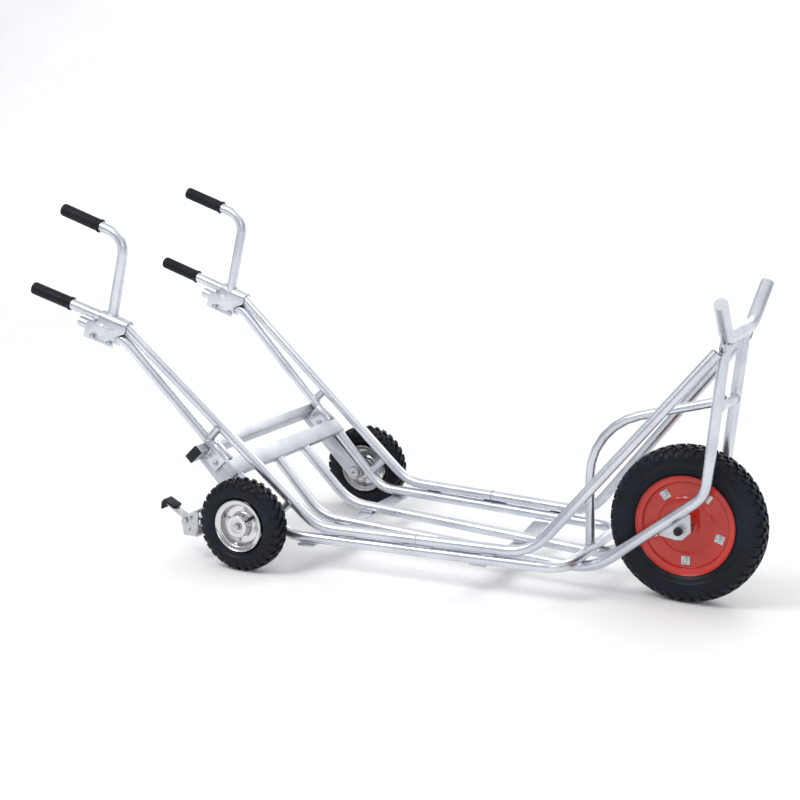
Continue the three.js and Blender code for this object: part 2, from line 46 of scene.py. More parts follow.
# Bends and ends of the tubes' axes, on the left side. The right side mirrors them.
RAIL_BEND = Vector((-0.1085, 0.240, 0.1049))
RAIL_LOW = Vector((0.400, 0.1943, 0.1113))
RAIL_TOP = Vector((0.7625, 0.0985, 0.5835))
FORK_LOW = Vector((0.749, 0.070, 0.2615))
FORK_TOP = Vector((0.774, 0.076, 0.603))
SPINE_START = Vector((-0.3144, 0.065, 0.203))
SPINE_BEND = Vector((-0.1867, 0.072, 0.0788))
DECK_BEND = Vector((-0.1857, 0.244, 0.0778))
STRUT_HIGH = Vector((-0.6174, 0.2693, 0.4949))
STRUT_LOW = Vector((-0.3436, 0.252, 0.2311))
HANDLE_FOOT = Vector((-0.655, 0.2668, 0.541))
HANDLE_BEND = Vector((-0.616, 0.2668, 0.7382))
GRIP_WAY = Vector((-0.2548, 0.0143, 0.0721))
LOWER_GRIP_END = Vector((-0.867, 0.2828, 0.5978))
UPPER_GRIP_END = Vector((-0.7865, 0.2692, 0.7904))

# Points on the middle plane.
CROSS_MIDDLE = Vector((0.7633, 0, 0.457))
HORN_MIDDLE = Vector((0.781, 0, 0.616))
DECK_FRONT = Vector((0.475, 0, 0.0852))
HOOP_KNEE = Vector((0.455, 0, 0.371))
HOOP_END = Vector((0.763, 0, 0.464))
HOOP_FOOT = Vector((0.4705, 0, 0.084))
ACROSS = (0, 1, 0)

# The straight deck runs: a starting point, and how far y and z change for each metre along x.
RAIL_RUN = {"x": -0.1085, "y": 0.240, "z": 0.1049, "dy": -0.0899, "dz": 0.0126}
DECK_RUN = {"x": -0.1857, "y": 0.244, "z": 0.0778, "dy": -0.0863, "dz": 0.0112}
EDGE_OFFSET = 0.0068
EDGE_STITCHES = ((-0.055, -0.012), (0.104, 0.175), (0.289, 0.325))
RAIL_JOINT_X = 0.135

# Distances down the slope, from its reference point.
CROSSBAR_BACK = 0.0993
CROSSBAR_FRONT = 0.1397
DECK_START = 0.1398
SADDLE_BOLTS = (58.5 * MM, 84.6 * MM)

# Bolt circles: how many, the first one's angle in degrees, and the radius in millimetres.
FRONT_BOLTS = {"count": 5, "first": 57, "radius": 80.5}
REAR_BOLTS = {"count": 4, "first": 78, "radius": 37.5}
BRAKE_BOLTS = ((-0.407, 0.075), (-0.386, 0.067))

VALVE_ANGLE = math.radians(35)
VALVE_REACH = 47 * MM
VALVE_LEAN = 1.6

GRIP_BORE = 13 * MM
SPACER_RADIUS = 10 * MM
CLAMP_RADIUS = 17 * MM
GRIP_BEHIND, GRIP_BEYOND = 107.7 * MM, 4.3 * MM

SMOOTH_ANGLE = math.radians(32)
BEVEL_ANGLE = math.radians(40)
BROAD_GRAIN = 0.04
GRAIN_STRENGTH = 0.35

CAMERA = {
    "place": (1.7304, -3.6225, 1.2392),
    "azimuth": 25.813,
    "elevation": 12.173,
    "roll": 1.545,
    "lens": 78.2,
}

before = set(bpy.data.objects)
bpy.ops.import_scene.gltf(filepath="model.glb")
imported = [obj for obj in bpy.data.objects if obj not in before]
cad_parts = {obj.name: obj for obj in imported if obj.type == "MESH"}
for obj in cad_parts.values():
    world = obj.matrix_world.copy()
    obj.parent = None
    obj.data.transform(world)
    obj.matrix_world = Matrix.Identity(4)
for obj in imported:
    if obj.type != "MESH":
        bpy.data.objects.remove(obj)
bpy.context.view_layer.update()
random.seed(SEED)


# ---------- node helpers ----------


def new_material(name):
    material = bpy.data.materials.new(name)
    material.use_nodes = True
    return material, material.node_tree.nodes, material.node_tree.links


def noise(nodes, links, scale, detail=2.0):
    """A noise factor laid out in the object's own space."""
    coords = nodes.new("ShaderNodeTexCoord")
    texture = nodes.new("ShaderNodeTexNoise")
    texture.inputs["Scale"].default_value = scale
    texture.inputs["Detail"].default_value = detail
    links.new(coords.outputs["Object"], texture.inputs["Vector"])
    return texture.outputs["Fac"]


def ramp(nodes, links, factor, stops):
    """Colours or greys spread over a factor; stops are (position, colour)."""
    node = nodes.new("ShaderNodeValToRGB")
    elements = node.color_ramp.elements
    while len(elements) < len(stops):
        elements.new(0.5)
    for element, (position, colour) in zip(elements, stops):
        element.position = position
        element.color = (*colour, 1) if len(colour) == 3 else (colour[0],) * 3 + (1,)
    links.new(factor, node.inputs["Fac"])
    return node.outputs["Color"]


def bump(nodes, links, shader, height, strength, distance):
    node = nodes.new("ShaderNodeBump")
    node.inputs["Strength"].default_value = strength
    node.inputs["Distance"].default_value = distance
    links.new(height, node.inputs["Height"])
    links.new(node.outputs["Normal"], shader.inputs["Normal"])


def finish_of(name, colours, rough, metallic, grain, depth, specular=0.5):
    """A surface whose colour, gloss and fine relief all wander a little."""
    material, nodes, links = new_material(name)
    shader = nodes["Principled BSDF"]
    shader.inputs["Metallic"].default_value = metallic
    shader.inputs["Specular IOR Level"].default_value = specular
    broad = noise(nodes, links, grain * BROAD_GRAIN, 5)
    fine = noise(nodes, links, grain)
    tone = ramp(nodes, links, broad, [(0.3, colours[0]), (0.5, colours[1]), (0.72, colours[2])])
    links.new(tone, shader.inputs["Base Color"])
    gloss = ramp(nodes, links, fine, [(0.3, (rough[0],)), (0.7, (rough[1],))])
    links.new(gloss, shader.inputs["Roughness"])
    bump(nodes, links, shader, fine, GRAIN_STRENGTH, depth)
    return material


def aluminium():
    """Satin drawn tube: pale, slightly clouded by handling."""
    tones = [(0.56, 0.585, 0.64), (0.65, 0.675, 0.725), (0.73, 0.75, 0.79)]
    return finish_of("satin_aluminium", tones, (0.26, 0.34), 0.95, 320, 0.000015)


def mill_aluminium():
    """Flat extruded bar with its dull mill finish."""
    tones = [(0.50, 0.515, 0.55), (0.58, 0.60, 0.64), (0.65, 0.67, 0.71)]
    return finish_of("mill_aluminium", tones, (0.42, 0.54), 0.9, 420, 0.00003)


def weld_metal():
    """Bright, slightly sooty filler metal."""
    tones = [(0.38, 0.385, 0.41), (0.54, 0.55, 0.58), (0.66, 0.67, 0.70)]
    return finish_of("weld_metal", tones, (0.28, 0.5), 0.95, 500, 0.0002)


def zinc():
    """Plating with the patchy grey flowers of zinc."""
    material, nodes, links = new_material("zinc_plate")
    shader = nodes["Principled BSDF"]
    shader.inputs["Metallic"].default_value = 1.0
    coords = nodes.new("ShaderNodeTexCoord")
    cells = nodes.new("ShaderNodeTexVoronoi")
    cells.inputs["Scale"].default_value = 160
    links.new(coords.outputs["Object"], cells.inputs["Vector"])
    stops = [(0.1, (0.46, 0.475, 0.49)), (0.5, (0.52, 0.535, 0.55)), (0.9, (0.58, 0.59, 0.60))]
    links.new(ramp(nodes, links, cells.outputs["Color"], stops), shader.inputs["Base Color"])
    fine = noise(nodes, links, 240)
    links.new(ramp(nodes, links, fine, [(0.3, (0.2,)), (0.7, (0.4,))]), shader.inputs["Roughness"])
    bump(nodes, links, shader, fine, 0.2, 0.0001)
    return material


def bright_plate():
    """Smooth bright plating with faint clouds and a fine grain in its relief."""
    tones = [(0.56, 0.565, 0.57), (0.66, 0.665, 0.67), (0.72, 0.725, 0.73)]
    return finish_of("bright_plate", tones, (0.1, 0.2), 1.0, 90, 0.00004)


def tyre_rubber():
    """Near-black rubber, its colour tinted blue as a painted sheen for cool highlights, with dust in the
    grain.
    """
    tones = [(0.002, 0.004, 0.007), (0.003, 0.006, 0.011), (0.006, 0.011, 0.021)]
    return finish_of("tyre_rubber", tones, (0.34, 0.52), 0.0, 420, 0.0002, specular=0.22)


def grip_rubber():
    tones = [(0.003, 0.004, 0.007), (0.005, 0.007, 0.011), (0.009, 0.012, 0.018)]
    return finish_of("grip_rubber", tones, (0.4, 0.58), 0.0, 600, 0.0002, specular=0.22)


def cap_plastic():
    tones = [(0.004, 0.006, 0.008), (0.007, 0.010, 0.013), (0.012, 0.015, 0.020)]
    return finish_of("cap_plastic", tones, (0.3, 0.45), 0.0, 500, 0.0001, specular=0.25)


def red_paint():
    """Baked enamel with a soft orange-peel surface."""
    tones = [(0.42, 0.018, 0.010), (0.49, 0.024, 0.014), (0.55, 0.034, 0.020)]
    material = finish_of("red_enamel", tones, (0.14, 0.2), 0.0, 130, 0.00003, specular=0.35)
    shader = material.node_tree.nodes["Principled BSDF"]
    shader.inputs["Coat Weight"].default_value = 0.4
    shader.inputs["Coat Roughness"].default_value = 0.08
    return material


MATERIALS = {
    "aluminium": aluminium(),
    "mill": mill_aluminium(),
    "weld": weld_metal(),
    "zinc": zinc(),
    "plate": bright_plate(),
    "tyre": tyre_rubber(),
    "grip": grip_rubber(),
    "cap": cap_plastic(),
    "red": red_paint(),
}


# ---------- shape helpers ----------


def smoothing_group():
    """Geometry nodes that shade smoothly across every edge flatter than SMOOTH_ANGLE."""
    group = bpy.data.node_groups.new("soft_edges", "GeometryNodeTree")
    group.interface.new_socket("Geometry", in_out="INPUT", socket_type="NodeSocketGeometry")
    group.interface.new_socket("Geometry", in_out="OUTPUT", socket_type="NodeSocketGeometry")
    nodes, links = group.nodes, group.links
    entry, leave = nodes.new("NodeGroupInput"), nodes.new("NodeGroupOutput")
    plain = nodes.new("GeometryNodeRemoveAttribute")
    plain.inputs["Name"].default_value = "custom_normal"
    angle = nodes.new("GeometryNodeInputMeshEdgeAngle")
    flat = nodes.new("FunctionNodeCompare")
    flat.operation = "LESS_THAN"
    flat.inputs[1].default_value = SMOOTH_ANGLE
    edges = nodes.new("GeometryNodeSetShadeSmooth")
    edges.domain = "EDGE"
    faces = nodes.new("GeometryNodeSetShadeSmooth")
    links.new(entry.outputs[0], plain.inputs["Geometry"])
    links.new(plain.outputs["Geometry"], faces.inputs["Geometry"])
    links.new(faces.outputs["Geometry"], edges.inputs["Geometry"])
    links.new(angle.outputs["Unsigned Angle"], flat.inputs[0])
    links.new(flat.outputs["Result"], edges.inputs["Shade Smooth"])
    links.new(edges.outputs["Geometry"], leave.inputs[0])
    return group


SOFT_EDGES = smoothing_group()


def soften(obj):
    obj.modifiers.new("soft_edges", "NODES").node_group = SOFT_EDGES


def bevel(obj, width):
    modifier = obj.modifiers.new("worn_edges", "BEVEL")
    modifier.width = width
    modifier.segments = 2
    modifier.limit_method = "ANGLE"
    modifier.angle_limit = BEVEL_ANGLE


def dress(node, material, edge=0.0):
    """Gives a CAD node its finish and softens its edges."""
    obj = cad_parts[node]
    obj.data.materials.clear()
    obj.data.materials.append(MATERIALS[material])
    weld = obj.modifiers.new("join_corners", "WELD")
    weld.merge_threshold = 0.00001
    if edge:
        bevel(obj, edge)
    soften(obj)


def mesh_object(name, vertices, faces, material, body, edge=0.0):
    mesh = bpy.data.meshes.new(name)
    mesh.from_pydata(vertices, [], faces)
    mesh.validate()
    work = bmesh.new()
    work.from_mesh(mesh)
    bmesh.ops.recalc_face_normals(work, faces=work.faces)
    work.to_mesh(mesh)
    work.free()
    mesh.materials.append(MATERIALS[material])
    obj = bpy.data.objects.new(name, mesh)
    bpy.context.scene.collection.objects.link(obj)
    if edge:
        bevel(obj, edge)
    soften(obj)
    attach(obj, body)
    return obj


def basis(axis):
    """Two unit vectors square to an axis and to each other."""
    axis = Vector(axis).normalized()
    across = axis.orthogonal().normalized()
    return axis, across, axis.cross(across)


def turned(profile, centre, axis, segments=96, closed=True):
    """Vertices and faces of (radius, along) points turned about an axis."""
    axis, u, v = basis(axis)
    vertices, faces = [], []
    count = len(profile)
    for i in range(segments):
        a = 2 * math.pi * i / segments
        out = u * math.cos(a) + v * math.sin(a)
        vertices += [centre + out * r + axis * t for r, t in profile]
    for i in range(segments):
        j = (i + 1) % segments
        for k in range(count if closed else count - 1):
            m = (k + 1) % count
            faces.append((i * count + k, i * count + m, j * count + m, j * count + k))
    return vertices, faces


def add_turned(name, profile, centre, axis, material, body, segments=96):
    vertices, faces = turned(profile, Vector(centre), axis, segments)
    return mesh_object(name, vertices, faces, material, body)


def merge(parts):
    vertices, faces = [], []
    for more_vertices, more_faces in parts:
        start = len(vertices)
        vertices += more_vertices
        faces += [tuple(i + start for i in face) for face in more_faces]
    return vertices, faces


def prism(centre, axis, radius, length, sides=6, taper=0.82):
    """A nut or bolt head: a prism standing on its centre point, with a chamfered top."""
    rings = [(radius, 0), (radius, length * 0.8), (radius * taper, length)]
    vertices, faces = turned(rings, Vector(centre), axis, sides, closed=False)
    count = len(rings)
    faces.append(tuple(i * count for i in range(sides)))
    faces.append(tuple(i * count + count - 1 for i in reversed(range(sides))))
    return vertices, faces


def hexagon_bolt(name, place, axis, radius, body, end=0.0):
    """A washer, a hexagon head and, where a length is given, the threaded end standing out of it."""
    axis = Vector(axis).normalized()
    place = Vector(place)
    parts = [
        prism(place, axis, radius * 1.35, radius * 0.22, 28, 0.97),
        prism(place + axis * radius * 0.22, axis, radius, radius * 0.75, 6, 0.9),
    ]
    if end:
        pitch = 1.25 * MM
        turns = int(end / pitch)
        core = radius * 0.5
        steps = [(core * (0.86 if i % 2 else 1.0), i * pitch / 2) for i in range(2 * turns)]
        profile = [(0.0001, 0), *steps, (0.0001, end)]
        parts.append(turned(profile, place + axis * radius * 0.9, axis, 16))
    vertices, faces = merge(parts)
    return mesh_object(name, vertices, faces, "zinc", body, edge=0.0003)


def bead(name, points, radius):
    """A closed weld run through points, rippled like a row of overlapping drops."""
    vertices, faces = [], []
    count, sides = len(points), 8
    middle = sum(points, Vector()) / count
    for i, point in enumerate(points):
        along = (points[(i + 1) % count] - points[i - 1]).normalized()
        out = (point - middle).normalized()
        side = along.cross(out).normalized()
        size = radius * (0.86 + 0.24 * abs(math.sin(i * math.pi / 4)) + random.uniform(-0.05, 0.05))
        for k in range(sides):
            a = 2 * math.pi * k / sides
            vertices.append(point + out * size * math.cos(a) + side * size * math.sin(a))
    for i in range(count):
        j = (i + 1) % count
        for k in range(sides):
            m = (k + 1) % sides
            faces.append((i * sides + k, i * sides + m, j * sides + m, j * sides + k))
    return mesh_object(name, vertices, faces, "weld", "frame")


def seam(name, start, end, radius):
    """A short straight run of weld, rippled along its length and rounded at both ends."""
    start, end = Vector(start), Vector(end)
    axis = (end - start).normalized()
    length = (end - start).length
    sides = 10
    steps = max(12, int(length / (1.1 * MM)))
    profile = []
    for i in range(steps + 1):
        part = i / steps
        swell = math.sin(math.pi * min(part, 1 - part, 0.12) / 0.24)
        ripple = 0.9 + 0.2 * abs(math.sin(i * math.pi / 3)) + random.uniform(-0.04, 0.04)
        profile.append((max(radius * swell * ripple, 0.02 * MM), length * part))
    vertices, faces = turned(profile, start, axis, sides, closed=False)
    count = len(profile)
    faces.append(tuple(i * count for i in range(sides)))
    faces.append(tuple(i * count + count - 1 for i in reversed(range(sides))))
    return mesh_object(name, vertices, faces, "weld", "frame")


def saddle_points(start, towards, radius, other, other_axis, other_radius, count=72):
    """Where a round tube running towards another meets its surface, all the way round."""
    axis, u, v = basis(towards)
    run = Vector(other_axis).normalized()
    points = []
    for i in range(count):
        a = 2 * math.pi * i / count
        begin = Vector(start) + (u * math.cos(a) + v * math.sin(a)) * radius
        offset = begin - Vector(other)
        flat_offset = offset - run * offset.dot(run)
        flat_axis = axis - run * axis.dot(run)
        a2 = flat_axis.length_squared
        b2 = flat_offset.dot(flat_axis)
        c2 = flat_offset.length_squared - other_radius**2
        root = math.sqrt(max(b2 * b2 - a2 * c2, 0.0))
        points.append(begin + axis * (-b2 - root) / a2)
    return points


def flat_points(centre, towards, radius, on_plane, normal, count=72):
    """Where a round tube meets a flat face, all the way round."""
    axis, u, v = basis(towards)
    normal = Vector(normal).normalized()
    points = []
    for i in range(count):
        a = 2 * math.pi * i / count
        begin = Vector(centre) + (u * math.cos(a) + v * math.sin(a)) * radius
        points.append(begin + axis * ((Vector(on_plane) - begin).dot(normal) / axis.dot(normal)))
    return points


def mirrored(point, side):
    """A left-side point on the left side, or its mirror image on the right."""
    return Vector((point.x, point.y * side, point.z))


def on_slope(along, above, y):
    """A place down the slope, square above it, and across the cart."""
    return SLOPE_POINT + Vector((
        along * math.cos(SLOPE_DIP) + above * math.sin(SLOPE_DIP),
        y,
        above * math.cos(SLOPE_DIP) - along * math.sin(SLOPE_DIP),
    ))


def on_run(run, x, side=1):
    """A point on the axis of a straight deck run, at a given x."""
    along = x - run["x"]
    return Vector((x, (run["y"] + run["dy"] * along) * side, run["z"] + run["dz"] * along))


def bolt_spokes(circle):
    """Unit vectors from a wheel's centre to each bolt of a circle."""
    for i in range(circle["count"]):
        angle = math.radians(circle["first"] + 360 / circle["count"] * i)
        yield Vector((math.cos(angle), 0, math.sin(angle)))


# ---------- tyres ----------


def tyre_profile(radius, half, bead_radius, bead_y):
    """Outline of an inflated tyre as (radius, y), with two raised rings on each wall."""
    wall = []
    height = radius - bead_radius
    steps = 22
    for i in range(steps + 1):
        a = math.pi / 2 * i / steps
        r = bead_radius + height * 0.45 + height * 0.55 * math.cos(a) ** 0.75
        y = half * math.sin(a) ** 0.72
        wall.append((r, y))
    lower = 10
    for i in range(1, lower + 1):
        part = i / lower
        r = bead_radius + height * 0.45 * (1 - part)
        y = half - (half - bead_y) * part**1.7
        if i in (3, 7):
            y += 0.9 * MM
        wall.append((r, y))
    outer = wall + [(bead_radius - 2 * MM, bead_y - 6 * MM)]
    return outer + [(r, -y) for r, y in reversed(outer)][:-1]


def block(around, width, y0, y1, r_top0, r_top1, depth, skew):
    """A tread block in wheel space: its middle angle, its angular width, and its top at both y ends."""
    corners = []
    for y, top in ((y0, r_top0), (y1, r_top1)):
        shift = skew if y == y1 else 0.0
        for edge in (-0.5, 0.5):
            for r, grow in ((top - depth, 1.12), (top, 0.9)):
                a = around + shift + edge * width * grow
                corners.append(Vector((r * math.cos(a), y, r * math.sin(a))))
    faces = [(0, 1, 3, 2), (4, 6, 7, 5), (0, 4, 5, 1), (2, 3, 7, 6), (1, 5, 7, 3), (0, 2, 6, 4)]
    return corners, faces


def tread(name, centre, body, rows, pitch_count):
    """Rows of raised rubber blocks round a tyre. A row is (y0, y1, r0, r1, depth, fill, skew, phase)."""
    parts = []
    step = 2 * math.pi / pitch_count
    for i in range(pitch_count):
        for y0, y1, r0, r1, depth, fill, skew, phase in rows:
            around = (i + phase) * step
            corners, faces = block(around, step * fill, y0, y1, r0, r1, depth, skew * step)
            parts.append(([centre + c for c in corners], faces))
    vertices, faces = merge(parts)
    return mesh_object(name, vertices, faces, "tyre", body, edge=0.0007)


def front_tyre():
    radius, half = 178 * MM, 40 * MM
    profile = tyre_profile(radius - 5.5 * MM, half - 0.6 * MM, 113 * MM, 28 * MM)
    tyre = add_turned("front_tyre_body", profile, FRONT_AXLE, (0, 1, 0), "tyre", "front_wheel", 128)
    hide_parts("front_tyre")
    rows = []
    for side in (-1, 1):
        phase = 0.25 if side > 0 else 0.75
        rows += [
            (side * 2 * MM, side * 12 * MM, 0.178, 0.1774, 0.010, 0.6, 0.2 * side, phase - 0.25),
            (side * 14 * MM, side * 24 * MM, 0.1771, 0.1742, 0.011, 0.6, -0.18 * side, phase + 0.25),
            (side * 26 * MM, side * 34.5 * MM, 0.1734, 0.1664, 0.011, 0.6, 0.0, phase),
            (side * 34.5 * MM, side * 37.6 * MM, 0.1664, 0.1600, 0.006, 0.56, 0.0, phase),
        ]
    tread("front_tyre_tread", FRONT_AXLE, "front_wheel", rows, 44)


def rear_tyre(label):
    centre = REAR_AXLES[label]
    body = "rear_wheel_" + label
    radius, half = 108.4 * MM, 29.4 * MM
    profile = tyre_profile(radius - 5.0 * MM, half - 0.6 * MM, 61 * MM, 20 * MM)
    tyre = add_turned("rear_tyre_body_" + label, profile, centre, (0, 1, 0), "tyre", body, 96)
    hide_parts("rear_tyre_" + label)
    rows = []
    for hand in (-1, 1):
        phase = 0.25 if hand > 0 else 0.75
        rows += [
            (hand * 1 * MM, hand * 13 * MM, 0.1084, 0.1074, 0.010, 0.54, 0.3 * hand, phase),
            (hand * 15 * MM, hand * 25 * MM, 0.1070, 0.1010, 0.011, 0.54, 0.1 * hand, phase + 0.4),
            (hand * 25 * MM, hand * 28.6 * MM, 0.1010, 0.0930, 0.008, 0.52, 0.0, phase + 0.5),
        ]
    tread("rear_tyre_tread_" + label, centre, body, rows, 30)


# ---------- rims ----------


def rounded(points, steps=4, reach=2.2 * MM):
    """Rounds the corners of a closed outline of (radius, y) points."""
    out = []
    count = len(points)
    for i in range(count):
        here = Vector((*points[i], 0))
        before = Vector((*points[i - 1], 0))
        after = Vector((*points[(i + 1) % count], 0))
        back = min(reach, (before - here).length * 0.45)
        ahead = min(reach, (after - here).length * 0.45)
        first = here + (before - here).normalized() * back
        last = here + (after - here).normalized() * ahead
        for k in range(steps + 1):
            t = k / steps
            p = first * (1 - t) ** 2 + here * 2 * t * (1 - t) + last * t**2
            out.append((p.x, p.y))
    return out


def millimetres(points, side=1):
    """An outline given in millimetres, turned to metres and mirrored for the right side."""
    return [(r * MM, y * MM * side) for r, y in points]


def front_rim(label, side):
    """One red pressed half: rolled lip, bead ledge, flat bolted ring and shallow dome."""
    outline = [
        (113.3, 31.2), (111.2, 29.2), (110, 27.6), (99, 26.5), (96.8, 20), (66, 19.6), (60.5, 23),
        (52, 24.4), (34, 25.6), (26, 24.8), (19.5, 26), (19.5, 23), (30, 22), (48, 21.6), (64, 17.4),
        (96.2, 17.4),
        (97.2, 0.4), (99.4, 0.4), (100.5, 24.3), (112.3, 25.6), (114, 31),
    ]
    profile = rounded(millimetres(outline, side), reach=1.6 * MM)
    rim = add_turned(
        "front_rim_pressing_" + label, profile, FRONT_AXLE, (0, 1, 0), "red", "front_wheel", 128
    )
    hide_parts("front_rim_" + label)


def front_rim_bolts():
    """Five bolts through both pressings, each with a square plate washer on both faces."""
    tip_outline = [(0.0001, 0), (3.9 * MM, 0), (3.9 * MM, 3 * MM), (3 * MM, 4 * MM), (0.0001, 4 * MM)]
    for i, spoke in enumerate(bolt_spokes(FRONT_BOLTS)):
        place = FRONT_AXLE + spoke * FRONT_BOLTS["radius"] * MM
        for label, side in SIDES.items():
            out = Vector((0, side, 0))
            washer = square_plate(place + out * 20.1 * MM, out, spoke, 10 * MM, 1.6 * MM)
            head = prism(place + out * 21.7 * MM, out, 7 * MM, 5 * MM)
            tip = turned(tip_outline, place + out * 26.4 * MM, out, 20)
            vertices, faces = merge([washer, head, tip])
            bolt = mesh_object(
                f"rim_bolt_{label}_{i + 1}", vertices, faces, "zinc", "front_wheel", edge=0.0004
            )
            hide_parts(f"front_rim_bolt_{i + 1}")


def square_plate(centre, normal, up, half, thick):
    """A square plate standing on its centre point, with its edges along up."""
    normal = Vector(normal).normalized()
    side = normal.cross(up).normalized()
    corners = []
    for level in (0, thick):
        for a, b in ((-1, -1), (1, -1), (1, 1), (-1, 1)):
            corners.append(centre + normal * level + side * half * a + up * half * b)
    faces = [(3, 2, 1, 0), (4, 5, 6, 7), (0, 1, 5, 4), (1, 2, 6, 5), (2, 3, 7, 6), (3, 0, 4, 7)]
    return corners, faces


def rear_rim(label, side):
    """Plated rim with a deep dish on each face, a drum for the bearings and four clamping bolts."""
    outline = [
        (60, 26), (58.5, 24), (50, 21.8), (47.6, 18), (46.5, 8), (43, 4.6), (31, 4.6), (27, 7),
        (26.2, 12), (26, 31), (24.6, 32.2), (15, 32.2), (14.6, 31.2), (6.2, 31.2), (6.2, -41.4),
        (15.8, -41.4), (15.8, -32.2), (24.6, -32.2), (26, -31), (26.2, -12), (27, -7), (31, -4.6),
        (43, -4.6), (46.5, -8), (47.6, -18), (50, -21.8), (58.5, -24), (60, -26), (60.8, -26),
        (60.4, -22.6), (51, -19), (51, 19), (60.4, 22.6), (60.8, 26),
    ]
    profile = rounded(millimetres(outline, side), reach=1.4 * MM)
    body = "rear_wheel_" + label
    rim = add_turned("rear_rim_pressing_" + label, profile, REAR_AXLES[label], (0, 1, 0), "plate", body)
    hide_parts("rear_rim_" + label)
    for i, spoke in enumerate(bolt_spokes(REAR_BOLTS)):
        for face, way in (("out", side), ("in", -side)):
            place = REAR_AXLES[label] + spoke * REAR_BOLTS["radius"] * MM + Vector((0, way * 4.4 * MM, 0))
            hexagon_bolt(f"rear_rim_bolt_{label}_{i + 1}_{face}", place, (0, way, 0), 5 * MM, body)


def rear_valve(label, side):
    """A rubber valve stem standing out of the rim, with its screw cap."""
    spoke = Vector((math.cos(VALVE_ANGLE), 0, math.sin(VALVE_ANGLE)))
    direction = (spoke * -VALVE_LEAN + Vector((0, side, 0))).normalized()
    profile = [
        (0.1, 0), (4.6, 0), (4.2, 3), (3.2, 5), (3.0, 11), (4.2, 11.4), (4.2, 17), (3.4, 18), (0.1, 18),
    ]
    base = REAR_AXLES[label] + spoke * VALVE_REACH + Vector((0, side * 13 * MM, 0))
    body = "rear_wheel_" + label
    add_turned("rear_valve_" + label, millimetres(profile), base, direction, "cap", body, 24)


# ---------- grips ----------


def grip(name, inner, outer):
    """A moulded sleeve with a collar, shallow finger rings and a domed end."""
    axis = (outer - inner).normalized()
    length = (outer - inner).length
    radius = 15.2 * MM
    profile = [(GRIP_BORE, 0), (16.6 * MM, 0.4 * MM), (16.8 * MM, 3.4 * MM), (15.6 * MM, 6 * MM)]
    ribs = 15
    start, stop = 9 * MM, length - 12 * MM
    width = (stop - start) / ribs
    for i in range(ribs):
        t = start + (stop - start) * i / ribs
        profile += [(radius - 0.9 * MM, t), (radius, t + width * 0.2), (radius, t + width * 0.8)]
    profile += [
        (radius - 0.9 * MM, stop), (radius, stop + 1.5 * MM), (radius, length - 4 * MM),
        (radius * 0.93, length - 1.4 * MM), (radius * 0.74, length), (0.0001, length),
        (0.0001, length - 3 * MM), (GRIP_BORE, length - 3 * MM),
    ]
    sleeve = add_turned(name + "_sleeve", profile, inner, axis, "grip", "frame", 48)
    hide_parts(name)


def grips():
    """A lower and an upper grip on each side, each pushed on along its tube."""
    for label, side in SIDES.items():
        for name, end, start in (
            ("lower_grip_", LOWER_GRIP_END, HANDLE_POINT),
            ("upper_grip_", UPPER_GRIP_END, HANDLE_BEND),
        ):
            tip = mirrored(end, side)
            way = (tip - mirrored(start, side)).normalized()
            grip(name + label, tip - way * GRIP_BEHIND, tip + way * GRIP_BEYOND)


# ---------- hardware and welds ----------


def saddle_bolts():
    """Two bolts through each leg saddle, whose threaded ends point to the cart's right."""
    for label, side in SIDES.items():
        for i, along in enumerate(SADDLE_BOLTS):
            for face in (-1, 1):
                y = 0.250 * side + face * 16.3 * MM
                place = on_slope(along, -18 * MM, y)
                where = "out" if face * side > 0 else "in"
                end = 4 * MM if face < 0 else 0
                name = f"saddle_bolt_{label}_{i + 1}_{where}"
                hexagon_bolt(name, place, (0, face, 0), 6 * MM, "frame", end)


def brake_hardware():
    """Two bolts through the brake's cheeks, below the pedal's pivot."""
    for i, (x, z) in enumerate(BRAKE_BOLTS):
        for face, y in ((-1, -0.320), (1, -0.282)):
            name = f"brake_bolt_{i + 1}_{'out' if face < 0 else 'in'}"
            hexagon_bolt(name, (x, y, z), (0, face, 0), 5.2 * MM, "frame")


def clamp_welds():
    """Runs of weld along the bottom of each clamp's cheek, where it meets the strut."""
    for label, side in SIDES.items():
        for face in (-1, 1):
            points = []
            for i in range(40):
                a = 2 * math.pi * i / 40
                along = (-58 + 34 * math.cos(a)) * MM
                above = (-14.5 + 1.4 * math.sin(a)) * MM
                x = HANDLE_POINT.x + along * math.cos(HANDLE_DIP) + above * math.sin(HANDLE_DIP)
                z = HANDLE_POINT.z - along * math.sin(HANDLE_DIP) + above * math.cos(HANDLE_DIP)
                y = (HANDLE_POINT.y + HANDLE_SPLAY * along) * side + face * 16.2 * MM
                points.append(Vector((x, y, z)))
            where = "out" if face * side > 0 else "in"
            bead(f"weld_clamp_{label}_{where}", points, 1.8 * MM)


def deck_edge(x, side):
    """The groove on the outer side between the main rail and the deck tube, at a given x."""
    groove = (on_run(RAIL_RUN, x) + on_run(DECK_RUN, x)) / 2
    return Vector((x, (groove.y + EDGE_OFFSET) * side, groove.z))


